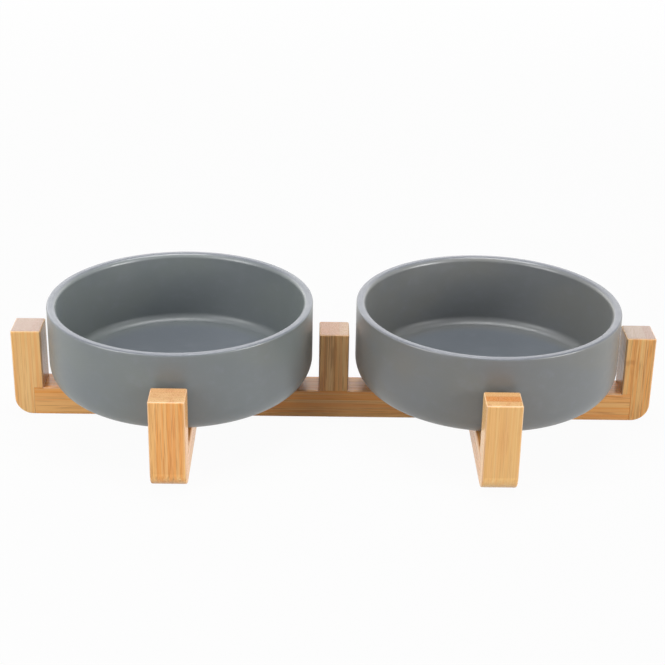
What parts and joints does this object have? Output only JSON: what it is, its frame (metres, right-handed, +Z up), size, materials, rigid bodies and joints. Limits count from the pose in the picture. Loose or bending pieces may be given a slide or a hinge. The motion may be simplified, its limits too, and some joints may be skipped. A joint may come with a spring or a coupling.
{
  "type": "double pet bowl",
  "caption": "Low bamboo stand of crossed rails with posts that fence in two round, straight-sided stoneware bowls, which lift out.",
  "frame": {"origin": "on the floor, under the middle of the stand, where the six pads rest", "axes": "+X along the long rail to the right, -Y the front, +Z up"},
  "size_m": [0.3786, 0.198, 0.073],
  "materials": {
    "stoneware": "matt grey glaze, slightly mottled",
    "bamboo": "laminated bamboo strips under a thin satin varnish",
    "dowel_beech": "plain turned beech",
    "screw_steel": "zinc-plated",
    "pad_rubber": "matt grey non-slip rubber"
  },
  "bodies": {
    "stand": {"long_rail": "bamboo", "left_cross_rail": "bamboo", "right_cross_rail": "bamboo", "left_end_post": "bamboo", "centre_post": "bamboo", "right_end_post": "bamboo", "left_front_post": "bamboo", "left_back_post": "bamboo", "right_front_post": "bamboo", "right_back_post": "bamboo", "left_end_dowel": "dowel_beech", "centre_dowel": "dowel_beech", "right_end_dowel": "dowel_beech", "left_front_dowel": "dowel_beech", "left_back_dowel": "dowel_beech", "right_front_dowel": "dowel_beech", "right_back_dowel": "dowel_beech", "left_lap_screw": "screw_steel", "right_lap_screw": "screw_steel", "left_end_pad": "pad_rubber", "right_end_pad": "pad_rubber", "left_front_pad": "pad_rubber", "left_back_pad": "pad_rubber", "right_front_pad": "pad_rubber", "right_back_pad": "pad_rubber"},
    "left_bowl": {"left_bowl": "stoneware"},
    "right_bowl": {"right_bowl": "stoneware"}
  },
  "joints": [
    {"name": "left_bowl_lift", "type": "slide", "parent": "stand", "child": "left_bowl", "axis": [0, 0, 1], "range_m": [0, 0.06]},
    {"name": "right_bowl_lift", "type": "slide", "parent": "stand", "child": "right_bowl", "axis": [0, 0, 1], "range_m": [0, 0.06]}
  ]
}
